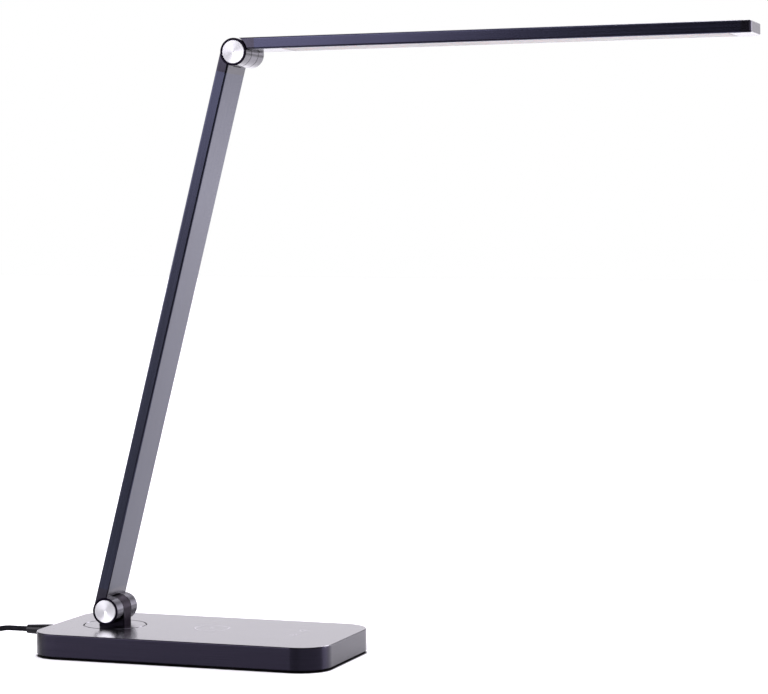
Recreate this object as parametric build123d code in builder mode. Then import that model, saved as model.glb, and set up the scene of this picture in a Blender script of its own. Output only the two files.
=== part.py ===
from build123d import *
import os
from math import atan, cos, floor, pi, radians, sin, sqrt, tan

os.makedirs("parts", exist_ok=True)

# A folding table lamp: a flat base with a charging pad and touch controls, a turntable, a slim
# two-part arm that folds on friction hinges, and a flat light bar. Millimetres. The origin is the
# middle of the base on the surface that it stands on, +X runs to the tip of the light bar and +Z is up.

# Fits and gaps
shaft_fit = 0.05        # a shaft in its hole, on the radius
seat_fit = 0.1          # a piece in its seat in the same body
running_gap = 0.05      # flat faces that slide past each other
moving_gap = 0.4        # the gap that shows round a moving piece

# Base
base_length = 216.0
base_width = 114.0
base_height = 17.3
base_corner = 22.0
cover_wall = 2.2
cover_top = 2.2
cover_rim_edge = 0.9
cover_foot_edge = 0.3
plate_inset = 1.2
plate_flange = 1.0
plate_thickness = 2.0
foot_proud = 0.8
foot_seat_depth = 0.8
foot_radius = 6.0
foot_inset = 28.0
boss_inset = 15.0
boss_radius = 4.0
rib_thickness = 1.4
rib_depth = 6.0
ballast_gap = 2.5
ballast_thickness = 3.0
ballast_corner = 17.0

# Screws
screw_radius = 1.5
screw_head_radius = 2.8
screw_head_height = 1.6
base_screw_length = 9.0
short_screw_length = 4.5
small_boss_radius = 3.2

# Turntable
turntable_from_end = 41.7
disc_radius = 21.7
disc_gap = 0.7
disc_edge = 0.4
flange_radius = 13.0
flange_thickness = 2.2
hub_radius = 7.0
hub_length = 8.0
hub_bore_radius = 3.2
friction_ring_thickness = 1.0
bearing_plate_length = 48.0
bearing_plate_width = 60.0
bearing_plate_corner = 6.0
bearing_plate_thickness = 2.0
bearing_screw_spacing_x = 38.0
bearing_screw_spacing_y = 48.0
wave_washer_thickness = 1.0
hub_nut_height = 3.0
hub_nut_radius = 11.5
hub_room_radius = 13.0
stop_radius = 17.5
stop_peg_radius = 1.5
stop_peg_length = 4.4
stop_slot_gap = 0.4
swivel_half_range = 90.0

# Hinges
axis_height = 11.45     # the lower hinge's axis above the base
barrel_radius = 9.5
barrel_clearance = 0.75
knuckle_width = 12.1
knuckle_gap = 0.7
post_half_length = 9.7
post_edge = 0.8
hinge_washer_thickness = 0.6
hinge_washer_radius = 8.0
bolt_radius = 3.5
bolt_bore_radius = 1.8
bolt_head_radius = 6.2
bolt_head_height = 2.5
bolt_drive_radius = 2.9
bolt_drive_depth = 1.5
nut_height = 3.0
disc_spring_thickness = 0.6
disc_spring_rise = 0.3
disc_spring_radius = 6.0
ear_floor = 3.0
pocket_radius = 6.7
cap_radius = 8.1
cap_thickness = 1.2
cap_plug_height = 1.4
cap_plug_wall = 0.8
cap_edge = 0.35
cap_dish_depth = 0.25
ear_edge = 0.4
ear_proud = 0.35        # the ears' ends beyond the sides of the slabs

# Arm
arm_length = 400.0      # from axis to axis
arm_width = 34.0
arm_thickness = 8.1
arm_angle = 76.0
arm_wall = 1.3
arm_corner = 1.2
arm_end_length = 15.2
channel_half_width = 5.0
channel_web = 1.0
tongue_length = 18.0

# Light bar
head_length = 355.4     # from the upper axis to the tip
head_angle = 0.65
head_end_length = 15.2
head_tip_length = 7.0
head_top_wall = 1.6
head_side_wall = 2.0
lip_width = 3.0
lip_height = 1.0
diffuser_plate = 1.2
diffuser_start = 34.7
diffuser_margin = 15.4  # from the diffuser to the tip
end_pane_gap = 0.8
tip_corner = 2.0
led_board_width = 22.0
led_board_thickness = 1.0
led_board_margin = 4.0
led_length = 3.5
led_width = 2.8
led_height = 0.7
led_columns = 28
led_row_spacing = 9.0
led_end_margin = 6.0

# Wires inside
flat_wire_width = 6.0
flat_wire_thickness = 1.6
wire_slot_gap = 0.2
base_wire_radius = 0.9

# Electronics in the base
pad_coil_radius = 21.5
pad_coil_bore = 9.5
pad_coil_thickness = 1.2
ferrite_side = 44.0
ferrite_thickness = 1.0
board_centre_x = 8.0
board_length = 70.0
board_width = 60.0
board_thickness = 1.6
board_drop = 5.7        # from the cover's inside to the board
board_screw_spacing_x = 62.0
board_screw_spacing_y = 52.0
inductor_radius = 4.8
inductor_height = 3.0
capacitor_radius = 2.5
capacitor_height = 2.9
chip_side = 6.0
chip_height = 1.0
touch_board_from_end = 38.0
touch_board_length = 14.0
touch_board_width = 52.0
touch_board_thickness = 1.0

# Supply socket, plug and cord
socket_y = 8.0
socket_height = 9.5
socket_length = 11.0
socket_width = 9.0
socket_depth = 6.6
socket_nose_radius = 3.9
socket_bore_radius = 2.85
socket_pin_radius = 0.95
socket_pin_length = 7.0
socket_bore_depth = 10.0
barrel_plug_radius = 2.75
barrel_plug_bore = 1.15
barrel_plug_length = 9.3
plug_collar_radius = 4.4
plug_collar_length = 3.0
plug_grip_radius = 4.1
plug_grip_length = 14.0
plug_end_radius = 3.15
plug_length = 30.0
plug_groove_depth = 0.35
plug_groove_width = 0.9
plug_groove_pitch = 2.4
plug_groove_count = 3
cord_radius = 1.9

# Cord coil and wall adapter
coil_turns = 11.0
coil_layer_turns = 3.0
coil_first_reversal = 2.75
coil_pitch = 4.45
coil_layer_pitch = 4.45
coil_start_radius = 26.4
tie_angle = 215.0
tie_width = 7.0
tie_thickness = 0.6
tie_gap = 0.1
adapter_length = 50.0
adapter_width = 36.0
adapter_height = 27.0
adapter_corner = 6.0
adapter_edge = 2.0
adapter_relief_length = 12.0
adapter_relief_base = 3.6
adapter_relief_tip = 2.5
relief_groove_count = 4
relief_groove_pitch = 2.2
relief_groove_width = 0.9
relief_groove_depth = 0.4
adapter_seam_height = 14.0
adapter_seam_width = 0.6
adapter_seam_depth = 0.4
pin_boss_length = 13.7
pin_boss_width = 32.0
pin_boss_corner = 5.0
pin_boss_height = 7.0
pin_boss_from_end = 15.0
pin_radius = 2.0
pin_length = 19.0
pin_spacing = 18.6
pin_tip = 0.9

# Levels in the base
plate_bottom = foot_proud
rim_level = plate_bottom + plate_flange
plate_top = plate_bottom + plate_thickness
ceiling = base_height - cover_top
flange_bottom = ceiling - flange_thickness
bearing_top = flange_bottom - friction_ring_thickness - running_gap
bearing_bottom = bearing_top - bearing_plate_thickness
wave_bottom = bearing_bottom - wave_washer_thickness - running_gap
board_top = ceiling - board_drop
board_bottom = board_top - board_thickness

# Places
base_left = -base_length / 2
turntable_x = base_left + turntable_from_end
lower_axis = Vector(turntable_x, 0, base_height + axis_height)
arm_direction = Vector(cos(radians(arm_angle)), 0, sin(radians(arm_angle)))
upper_axis = lower_axis + arm_direction * arm_length
diffuser_end = head_length - diffuser_margin
board_left = board_centre_x - board_length / 2
head_direction = Vector(cos(radians(head_angle)), 0, sin(radians(head_angle)))
half_width = arm_width / 2
ear_inside = knuckle_width / 2 + knuckle_gap
ear_outside = half_width + ear_proud
slab_bottom = barrel_radius - arm_thickness
cut_radius = barrel_radius + barrel_clearance


def side_plane(axis_point, direction):
    """The plane of a side view: x runs along the piece, y to its back, and -Y is towards the viewer."""
    return Plane(origin=axis_point, x_dir=direction, z_dir=(0, -1, 0))


def cross_plane(axis_point, direction, along):
    """The plane across a piece, so far along it: x runs across the piece and y to its back."""
    return Plane(origin=axis_point + direction * along, x_dir=(0, 1, 0), z_dir=direction)


def turning_plane(axis_point):
    """The plane of a turned piece's half section: x is the radius and y runs along the hinge axis."""
    return Plane(origin=axis_point, x_dir=(1, 0, 0), z_dir=(0, 0, 1))


def finish(builder, label):
    """Names a finished piece and writes it."""
    builder.part.label = label
    export_step(builder.part, f"parts/{label}.step")


post_side = side_plane(lower_axis, Vector(1, 0, 0))


def grid_places(centre_x, spacing_x, spacing_y):
    """The four corners of a rectangle of screws, feet or bosses."""
    return [
        (centre_x + x * spacing_x / 2, y * spacing_y / 2) for x in (-1, 1) for y in (-1, 1)
    ]


corner_places = grid_places(0, base_length - 2 * boss_inset, base_width - 2 * boss_inset)
foot_places = grid_places(0, base_length - 2 * foot_inset, base_width - 2 * foot_inset)
bearing_places = grid_places(turntable_x, bearing_screw_spacing_x, bearing_screw_spacing_y)
board_places = grid_places(board_centre_x, board_screw_spacing_x, board_screw_spacing_y)
corner_seats = [(x, y, plate_bottom) for x, y in corner_places]
standing = (Align.CENTER, Align.CENTER, Align.MIN)

# Base cover: a shell with screw bosses, ribs, the turntable's hole and the socket's hole
with BuildPart() as base_cover:
    with BuildSketch(Plane.XY.offset(rim_level)):
        RectangleRounded(base_length, base_width, base_corner)
    extrude(amount=base_height - rim_level)
    fillet(base_cover.faces().sort_by(Axis.Z)[-1].edges(), cover_rim_edge)
    fillet(base_cover.faces().sort_by(Axis.Z)[0].edges(), cover_foot_edge)
    with BuildSketch(Plane.XY.offset(rim_level)):
        RectangleRounded(
            base_length - 2 * cover_wall, base_width - 2 * cover_wall, base_corner - cover_wall
        )
    extrude(amount=ceiling - rim_level, mode=Mode.SUBTRACT)
    with BuildSketch(Plane.XY.offset(plate_top)):
        with Locations(*corner_places):
            Circle(boss_radius)
    extrude(amount=ceiling - plate_top)
    with BuildSketch(Plane.XY.offset(ceiling - rib_depth)):
        for side in (-1, 1):
            for end in (-1, 1):
                rib_length = boss_inset - cover_wall
                boss_x = end * (base_length / 2 - boss_inset)
                boss_y = side * (base_width / 2 - boss_inset)
                with Locations((boss_x, boss_y + side * rib_length / 2)):
                    Rectangle(rib_thickness, rib_length)
                with Locations((boss_x + end * rib_length / 2, boss_y)):
                    Rectangle(rib_length, rib_thickness)
    extrude(amount=rib_depth)
    with BuildSketch(Plane.XY.offset(bearing_top)):
        with Locations(*bearing_places):
            Circle(small_boss_radius)
    extrude(amount=ceiling - bearing_top)
    with BuildSketch(Plane.XY.offset(board_top)):
        with Locations(*board_places):
            Circle(small_boss_radius)
    extrude(amount=ceiling - board_top)
    with BuildSketch(Plane.XY.offset(ceiling)):
        with Locations((turntable_x, 0)):
            Circle(disc_radius + disc_gap)
    extrude(amount=cover_top, mode=Mode.SUBTRACT)
    disc_rim = base_cover.faces().sort_by(Axis.Z)[-1].inner_wires()[0]
    chamfer(disc_rim.edges(), cover_foot_edge)
    with BuildSketch(Plane.XY.offset(plate_top)):
        with Locations(*corner_places):
            Circle(screw_radius + shaft_fit)
    extrude(amount=base_screw_length, mode=Mode.SUBTRACT)
    with BuildSketch(Plane.XY.offset(bearing_top)):
        with Locations(*bearing_places):
            Circle(screw_radius + shaft_fit)
    extrude(amount=short_screw_length - bearing_plate_thickness + seat_fit, mode=Mode.SUBTRACT)
    with BuildSketch(Plane.XY.offset(board_top)):
        with Locations(*board_places):
            Circle(screw_radius + shaft_fit)
    extrude(amount=short_screw_length - board_thickness + seat_fit, mode=Mode.SUBTRACT)
    with BuildSketch(Plane((base_left, socket_y, socket_height), x_dir=(0, 1, 0), z_dir=(1, 0, 0))):
        Circle(socket_nose_radius + seat_fit)
    extrude(amount=cover_wall, mode=Mode.SUBTRACT)
finish(base_cover, "base_cover")

# Base plate: a recessed flange that shows as a dark line, and a step that centres it in the cover
with BuildPart() as base_plate:
    with BuildSketch(Plane.XY.offset(plate_bottom)):
        RectangleRounded(
            base_length - 2 * plate_inset, base_width - 2 * plate_inset, base_corner - plate_inset
        )
    extrude(amount=plate_flange)
    step_inset = cover_wall + seat_fit
    with BuildSketch(Plane.XY.offset(rim_level)):
        RectangleRounded(
            base_length - 2 * step_inset, base_width - 2 * step_inset, base_corner - step_inset
        )
    extrude(amount=plate_thickness - plate_flange)
    with BuildSketch(Plane.XY.offset(plate_bottom)):
        with Locations(*foot_places):
            Circle(foot_radius + seat_fit)
    extrude(amount=foot_seat_depth, mode=Mode.SUBTRACT)
    with Locations(*corner_seats):
        Cone(
            screw_head_radius + seat_fit,
            screw_radius + seat_fit,
            screw_head_height,
            align=standing,
            mode=Mode.SUBTRACT,
        )
        Cylinder(screw_radius + seat_fit, plate_thickness, align=standing, mode=Mode.SUBTRACT)
finish(base_plate, "base_plate")

# Rubber feet, let into the plate
with BuildPart() as rubber_feet:
    with BuildSketch():
        with Locations(*foot_places):
            Circle(foot_radius)
    extrude(amount=foot_proud + foot_seat_depth)
finish(rubber_feet, "rubber_feet")

# Countersunk screws that hold the plate to the cover
with BuildPart() as base_screws:
    with Locations(*corner_seats):
        Cone(screw_head_radius, screw_radius, screw_head_height, align=standing)
        Cylinder(screw_radius, base_screw_length + plate_thickness - seat_fit, align=standing)
finish(base_screws, "base_screws")

# Steel ballast on the plate, with room for the bosses and the turntable's nut
with BuildPart() as ballast_plate:
    ballast_inset = cover_wall + ballast_gap
    with BuildSketch(Plane.XY.offset(plate_top)):
        RectangleRounded(
            base_length - 2 * ballast_inset, base_width - 2 * ballast_inset, ballast_corner
        )
        with Locations(*corner_places):
            Circle(boss_radius + moving_gap, mode=Mode.SUBTRACT)
        with Locations((turntable_x, 0)):
            Circle(hub_room_radius, mode=Mode.SUBTRACT)
    extrude(amount=ballast_thickness)
finish(ballast_plate, "ballast_plate")

# Bearing plate of the turntable, with the curved slot that stops the turn
stop_arc = CenterArc((turntable_x, 0), stop_radius, 180 - swivel_half_range, 2 * swivel_half_range)
with BuildPart() as bearing_plate:
    with BuildSketch(Plane.XY.offset(bearing_bottom)):
        with Locations((turntable_x, 0)):
            RectangleRounded(bearing_plate_length, bearing_plate_width, bearing_plate_corner)
            Circle(hub_radius + shaft_fit, mode=Mode.SUBTRACT)
        with Locations(*bearing_places):
            Circle(screw_radius + seat_fit, mode=Mode.SUBTRACT)
        SlotArc(stop_arc, 2 * (stop_peg_radius + stop_slot_gap), mode=Mode.SUBTRACT)
    extrude(amount=bearing_plate_thickness)
finish(bearing_plate, "bearing_plate")


def headed_screws(places, seat_level):
    """Pan-head screws driven up into bosses, with their heads under the level of the seat."""
    with BuildPart() as screws:
        with BuildSketch(Plane.XY.offset(seat_level - screw_head_height)):
            with Locations(*places):
                Circle(screw_head_radius)
        extrude(amount=screw_head_height)
        with BuildSketch(Plane.XY.offset(seat_level)):
            with Locations(*places):
                Circle(screw_radius)
        extrude(amount=short_screw_length)
    return screws


finish(headed_screws(bearing_places, bearing_bottom), "bearing_screws")
finish(headed_screws(board_places, board_bottom), "board_screws")

# Post of the turntable: knuckle, stem, flange, hollow hub and stop peg in one casting
with BuildPart() as hinge_post:
    with BuildSketch(post_side):
        Circle(barrel_radius)
        with Locations((0, -axis_height / 2)):
            Rectangle(2 * post_half_length, axis_height)
    extrude(amount=knuckle_width / 2, both=True)
    fillet(hinge_post.edges().filter_by(Axis.Z), post_edge)
    foot_face = hinge_post.faces().sort_by(Axis.Z)[0]
    extrude(foot_face, amount=cover_top)
    with BuildSketch(Plane.XY.offset(flange_bottom)):
        with Locations((turntable_x, 0)):
            Circle(flange_radius)
        with Locations((turntable_x - stop_radius / 2, 0)):
            Rectangle(stop_radius, 2 * stop_peg_radius)
        with Locations((turntable_x - stop_radius, 0)):
            Circle(stop_peg_radius)
    extrude(amount=flange_thickness)
    with BuildSketch(Plane.XY.offset(flange_bottom)):
        with Locations((turntable_x - stop_radius, 0)):
            Circle(stop_peg_radius)
    extrude(amount=-stop_peg_length + flange_thickness)
    with BuildSketch(Plane.XY.offset(flange_bottom)):
        with Locations((turntable_x, 0)):
            Circle(hub_radius)
    extrude(amount=-hub_length)
    with BuildSketch(Plane.XY.offset(flange_bottom - hub_length)):
        with Locations((turntable_x, 0)):
            Circle(hub_bore_radius)
    extrude(amount=lower_axis.Z - flange_bottom + hub_length, mode=Mode.SUBTRACT)
    with BuildSketch(post_side.offset(-knuckle_width / 2)):
        Circle(bolt_radius + shaft_fit)
    extrude(amount=knuckle_width, mode=Mode.SUBTRACT)
finish(hinge_post, "hinge_post")

# Turntable disc, flush with the cover, with an opening for the stem
with BuildPart() as turntable_disc:
    with BuildSketch(Plane.XY.offset(ceiling)):
        with Locations((turntable_x, 0)):
            Circle(disc_radius)
            RectangleRounded(
                2 * (post_half_length + seat_fit),
                knuckle_width + 2 * seat_fit,
                post_edge,
                mode=Mode.SUBTRACT,
            )
    extrude(amount=cover_top)
    chamfer(turntable_disc.faces().sort_by(Axis.Z)[-1].edges(), disc_edge)
finish(turntable_disc, "turntable_disc")


def hub_ring(bottom, height, outer, inner):
    """A ring round the turntable's hub."""
    with BuildPart() as ring:
        with BuildSketch(Plane.XY.offset(bottom)):
            with Locations((turntable_x, 0)):
                Circle(outer)
                Circle(inner, mode=Mode.SUBTRACT)
        extrude(amount=height)
    return ring


# Friction ring, spring washer and nut on the hub
friction_ring = hub_ring(
    flange_bottom - friction_ring_thickness,
    friction_ring_thickness,
    flange_radius - seat_fit,
    hub_radius + shaft_fit,
)
finish(friction_ring, "friction_ring")
wave_washer = hub_ring(wave_bottom, wave_washer_thickness, hub_nut_radius, hub_radius + shaft_fit)
finish(wave_washer, "wave_washer")
with BuildPart() as hub_nut:
    with BuildSketch(Plane.XY.offset(wave_bottom - hub_nut_height)):
        with Locations((turntable_x, 0)):
            RegularPolygon(hub_nut_radius, 6)
            Circle(hub_radius + shaft_fit, mode=Mode.SUBTRACT)
    extrude(amount=hub_nut_height)
finish(hub_nut, "hub_nut")


def turned(axis_point, *profiles):
    """A turned piece on a hinge axis, or several of them, from half sections (radius, along the axis)."""
    with BuildPart() as piece:
        for profile in profiles:
            with BuildSketch(turning_plane(axis_point)):
                with BuildLine():
                    Polyline(*profile, close=True)
                make_face()
            revolve(axis=Axis(axis_point, (0, 1, 0)))
    return piece


def ring_profile(inner, outer, start, end):
    """The half section of a plain ring."""
    return [(inner, start), (outer, start), (outer, end), (inner, end)]


def hinge_hardware(name, axis_point):
    """The bolt, nut, springs, washers and caps of one friction hinge."""
    seat = ear_inside + ear_floor
    shank = bolt_radius
    nut_start = seat + 2 * (disc_spring_thickness + disc_spring_rise) + running_gap
    nut_end = nut_start + nut_height
    bolt = turned(
        axis_point,
        [
            (bolt_bore_radius, -seat),
            (bolt_drive_radius, -seat - bolt_head_height + bolt_drive_depth),
            (bolt_drive_radius, -seat - bolt_head_height),
            (bolt_head_radius, -seat - bolt_head_height),
            (bolt_head_radius, -seat),
            (shank, -seat),
            (shank, nut_end),
            (bolt_bore_radius, nut_end),
        ],
    )
    finish(bolt, f"{name}_hinge_bolt")
    with BuildPart() as nut:
        with BuildSketch(side_plane(axis_point, Vector(1, 0, 0)).offset(-nut_end)):
            RegularPolygon(bolt_head_radius, 6)
            Circle(shank + shaft_fit, mode=Mode.SUBTRACT)
        extrude(amount=nut_height)
    finish(nut, f"{name}_hinge_nut")
    spring_bore = shank + seat_fit
    first = [
        (spring_bore, seat + disc_spring_rise),
        (disc_spring_radius, seat),
        (disc_spring_radius, seat + disc_spring_thickness),
        (spring_bore, seat + disc_spring_rise + disc_spring_thickness),
    ]
    turn_over = 2 * (seat + disc_spring_rise + disc_spring_thickness) + running_gap
    second = [(radius, turn_over - along) for radius, along in first]
    finish(turned(axis_point, first, second), f"{name}_disc_springs")
    inside = knuckle_width / 2 + (knuckle_gap - hinge_washer_thickness) / 2
    near_washer = ring_profile(
        shank + seat_fit, hinge_washer_radius, -inside - hinge_washer_thickness, -inside
    )
    far_washer = ring_profile(
        shank + seat_fit, hinge_washer_radius, inside, inside + hinge_washer_thickness
    )
    finish(turned(axis_point, near_washer, far_washer), f"{name}_hinge_washers")
    for side, side_name in ((-1, "near"), (1, "far")):
        inner_face = ear_outside - cap_thickness
        plug = pocket_radius - seat_fit
        section = [
            (0, inner_face),
            (plug - cap_plug_wall, inner_face),
            (plug - cap_plug_wall, inner_face - cap_plug_height),
            (plug, inner_face - cap_plug_height),
            (plug, inner_face),
            (cap_radius, inner_face),
            (cap_radius, ear_outside - cap_edge),
            (cap_radius - cap_edge, ear_outside),
            (0, ear_outside - cap_dish_depth),
        ]
        cap = turned(axis_point, [(radius, side * along) for radius, along in section])
        finish(cap, f"{name}_cap_{side_name}")


hinge_hardware("lower", lower_axis)
hinge_hardware("upper", upper_axis)


def slab_section(axis_point, direction, along):
    """The outline across the arm or the light bar, so far along it."""
    with BuildSketch(cross_plane(axis_point, direction, along)) as section:
        with Locations((0, slab_bottom + arm_thickness / 2)):
            Rectangle(arm_width, arm_thickness)
        fillet(section.vertices(), arm_corner)
    return section.sketch


def wire_section(axis_point, direction, along, level, gap):
    """The outline across the flat wire, or across its slot where there is a gap."""
    with BuildSketch(cross_plane(axis_point, direction, along)) as section:
        with Locations((0, level)):
            SlotOverall(flat_wire_width + 2 * gap, flat_wire_thickness + 2 * gap)
    return section.sketch


# The arm's wire lies on the inside of the tube's front wall
arm_wire_level = slab_bottom + arm_wall + running_gap + flat_wire_thickness / 2


def arm_end(label, axis_point, onward):
    """An end of the arm: ears round a knuckle, a slab, and tongues in the tube. onward is 1 or -1."""
    plane = side_plane(axis_point, arm_direction)
    tongue_start = channel_half_width + channel_web + seat_fit
    tongue_stop = half_width - arm_wall - seat_fit
    tongue_height = arm_thickness - 2 * (arm_wall + seat_fit)
    pocket_floor = ear_inside + ear_floor
    cap_seat = ear_outside - cap_thickness
    ear = [
        (0, ear_inside),
        (barrel_radius, ear_inside),
        (barrel_radius, ear_outside - ear_edge),
        (barrel_radius - ear_edge, ear_outside),
        (0, ear_outside),
    ]
    pocket = [
        (0, pocket_floor),
        (pocket_radius, pocket_floor),
        (pocket_radius, cap_seat),
        (cap_radius + seat_fit, cap_seat),
        (cap_radius + seat_fit, ear_outside),
        (0, ear_outside),
    ]
    with BuildPart() as piece:
        extrude(slab_section(axis_point, arm_direction, 0), amount=onward * arm_end_length)
        with BuildSketch(plane):
            Circle(cut_radius)
        extrude(amount=ear_inside, both=True, mode=Mode.SUBTRACT)
        for outline, way in ((ear, Mode.ADD), (pocket, Mode.SUBTRACT)):
            for side in (-1, 1):
                with BuildSketch(turning_plane(axis_point)):
                    with BuildLine():
                        Polyline(*[(radius, side * across) for radius, across in outline], close=True)
                    make_face()
                revolve(axis=Axis(axis_point, (0, 1, 0)), mode=way)
        with BuildSketch(plane):
            Circle(bolt_radius + shaft_fit)
        extrude(amount=ear_outside, both=True, mode=Mode.SUBTRACT)
        with BuildSketch(cross_plane(axis_point, arm_direction, onward * arm_end_length)):
            for side in (-1, 1):
                with Locations(
                    (side * (tongue_start + tongue_stop) / 2, slab_bottom + arm_thickness / 2)
                ):
                    Rectangle(tongue_stop - tongue_start, tongue_height)
        extrude(amount=onward * tongue_length)
        slot = wire_section(axis_point, arm_direction, 0, arm_wire_level, wire_slot_gap)
        extrude(slot, amount=onward * arm_end_length, mode=Mode.SUBTRACT)
    finish(piece, label)


arm_end("arm_lower_end", lower_axis, 1)
arm_end("arm_upper_end", upper_axis, -1)

# Arm tube: an extrusion with a wire channel between two webs
tube_length = arm_length - 2 * arm_end_length
with BuildPart() as arm_tube:
    extrude(slab_section(lower_axis, arm_direction, arm_end_length), amount=tube_length)
    side_chamber = half_width - arm_wall - channel_half_width - channel_web
    side_chamber_middle = channel_half_width + channel_web + side_chamber / 2
    with BuildSketch(cross_plane(lower_axis, arm_direction, arm_end_length)):
        with Locations((0, slab_bottom + arm_thickness / 2)):
            Rectangle(2 * channel_half_width, arm_thickness - 2 * arm_wall)
        for side in (-1, 1):
            with Locations((side * side_chamber_middle, slab_bottom + arm_thickness / 2)):
                Rectangle(side_chamber, arm_thickness - 2 * arm_wall)
    extrude(amount=tube_length, mode=Mode.SUBTRACT)
finish(arm_tube, "arm_tube")

# Flat wire through the arm, from one hinge to the other
wire_start = cut_radius + moving_gap
with BuildPart() as arm_wire:
    extrude(
        wire_section(lower_axis, arm_direction, wire_start, arm_wire_level, 0),
        amount=arm_length - 2 * wire_start,
    )
finish(arm_wire, "arm_wire")

# Light bar: a channel that is open below, with lips that hold the diffuser
channel_top = barrel_radius - head_top_wall
rail_end = head_length - head_tip_length
head_wire_level = channel_top - running_gap - flat_wire_thickness / 2
head_up = Vector(-head_direction.Z, 0, head_direction.X)


def channel_section(along, gap, top):
    """What fills the light bar's opening and its channel up to a level, with a gap at the sides."""
    shoulder = slab_bottom + lip_height + gap
    with BuildSketch(cross_plane(upper_axis, head_direction, along)) as section:
        with Locations((0, (slab_bottom + shoulder) / 2)):
            Rectangle(arm_width - 2 * (lip_width + gap), shoulder - slab_bottom)
        with Locations((0, (shoulder + top) / 2)):
            Rectangle(arm_width - 2 * (head_side_wall + gap), top - shoulder)
    return section.sketch


with BuildPart() as head_rail:
    extrude(
        slab_section(upper_axis, head_direction, head_end_length), amount=rail_end - head_end_length
    )
    extrude(
        channel_section(head_end_length, 0, channel_top),
        amount=rail_end - head_end_length,
        mode=Mode.SUBTRACT,
    )
finish(head_rail, "head_rail")

# Knuckle end of the light bar, cut back round the arm's ears, with a tongue in the channel
with BuildPart() as head_knuckle:
    extrude(slab_section(upper_axis, head_direction, 0), amount=head_end_length)
    for side in (-1, 1):
        with BuildSketch(
            side_plane(upper_axis, head_direction).offset(side * knuckle_width / 2)
        ):
            Circle(cut_radius)
        extrude(amount=side * half_width, mode=Mode.SUBTRACT)
    with BuildSketch(side_plane(upper_axis, head_direction)):
        Circle(barrel_radius)
    extrude(amount=knuckle_width / 2, both=True)
    extrude(
        channel_section(head_end_length, seat_fit, channel_top - seat_fit),
        amount=diffuser_start - end_pane_gap - head_end_length,
    )
    with BuildSketch(side_plane(upper_axis, head_direction)):
        Circle(bolt_radius + shaft_fit)
    extrude(amount=half_width, both=True, mode=Mode.SUBTRACT)
    extrude(
        wire_section(
            upper_axis, head_direction, bolt_radius + moving_gap, head_wire_level, wire_slot_gap
        ),
        amount=diffuser_start,
        mode=Mode.SUBTRACT,
    )
finish(head_knuckle, "head_knuckle")

# Tip of the light bar, rounded in plan, with a tongue in the channel
tip_plan = Plane(
    origin=upper_axis + head_direction * rail_end + head_up * slab_bottom,
    x_dir=head_direction,
    z_dir=head_up,
)
with BuildPart() as head_tip:
    with BuildSketch(tip_plan) as tip_outline:
        with Locations((head_tip_length / 2, 0)):
            Rectangle(head_tip_length, arm_width)
        fillet(tip_outline.vertices().group_by(Axis.X)[-1], tip_corner)
    extrude(amount=arm_thickness)
    rims = head_tip.faces().filter_by(Axis(origin=(0, 0, 0), direction=head_up))
    rim_edges = rims.edges().sort_by(Axis(origin=(0, 0, 0), direction=head_direction))[2:]
    fillet(rim_edges, arm_corner)
    extrude(
        channel_section(rail_end, seat_fit, channel_top - seat_fit),
        amount=-(rail_end - diffuser_end - end_pane_gap),
    )
finish(head_tip, "head_tip")

# Opal diffuser in the channel's opening, flush with the lips
with BuildPart() as diffuser:
    extrude(
        channel_section(
            diffuser_start, seat_fit, slab_bottom + lip_height + seat_fit + diffuser_plate
        ),
        amount=diffuser_end - diffuser_start,
    )
finish(diffuser, "diffuser")

# Light source: a strip board under the top wall with two rows of emitters
board_start = diffuser_start + led_board_margin
strip_length = diffuser_end - diffuser_start - 2 * led_board_margin
with BuildPart() as led_board:
    with BuildSketch(cross_plane(upper_axis, head_direction, board_start)):
        with Locations((0, channel_top - led_board_thickness / 2)):
            Rectangle(led_board_width, led_board_thickness)
    extrude(amount=strip_length)
finish(led_board, "led_board")

emitter_pitch = (strip_length - 2 * led_end_margin) / (led_columns - 1)
emitter_plane = Plane(
    origin=upper_axis
    + head_direction * (board_start + strip_length / 2)
    + head_up * (channel_top - led_board_thickness),
    x_dir=head_direction,
    z_dir=-head_up,
)
with BuildPart() as leds:
    with BuildSketch(emitter_plane):
        with GridLocations(emitter_pitch, led_row_spacing, led_columns, 2):
            Rectangle(led_length, led_width)
    extrude(amount=led_height)
finish(leds, "leds")

# Wire from the knuckle to the strip board
head_wire_start = bolt_radius + 2 * moving_gap
with BuildPart() as head_wire:
    extrude(
        wire_section(upper_axis, head_direction, head_wire_start, head_wire_level, 0),
        amount=board_start - head_wire_start,
    )
finish(head_wire, "head_wire")

# Charging pad under the cover: a flat coil on its ferrite sheet
with BuildPart() as charging_coil:
    with BuildSketch(Plane.XY.offset(ceiling - pad_coil_thickness)):
        Circle(pad_coil_radius)
        Circle(pad_coil_bore, mode=Mode.SUBTRACT)
    extrude(amount=pad_coil_thickness)
finish(charging_coil, "charging_coil")
with BuildPart() as ferrite_sheet:
    with BuildSketch(Plane.XY.offset(ceiling - pad_coil_thickness - ferrite_thickness)):
        Rectangle(ferrite_side, ferrite_side)
    extrude(amount=ferrite_thickness)
finish(ferrite_sheet, "ferrite_sheet")

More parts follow.
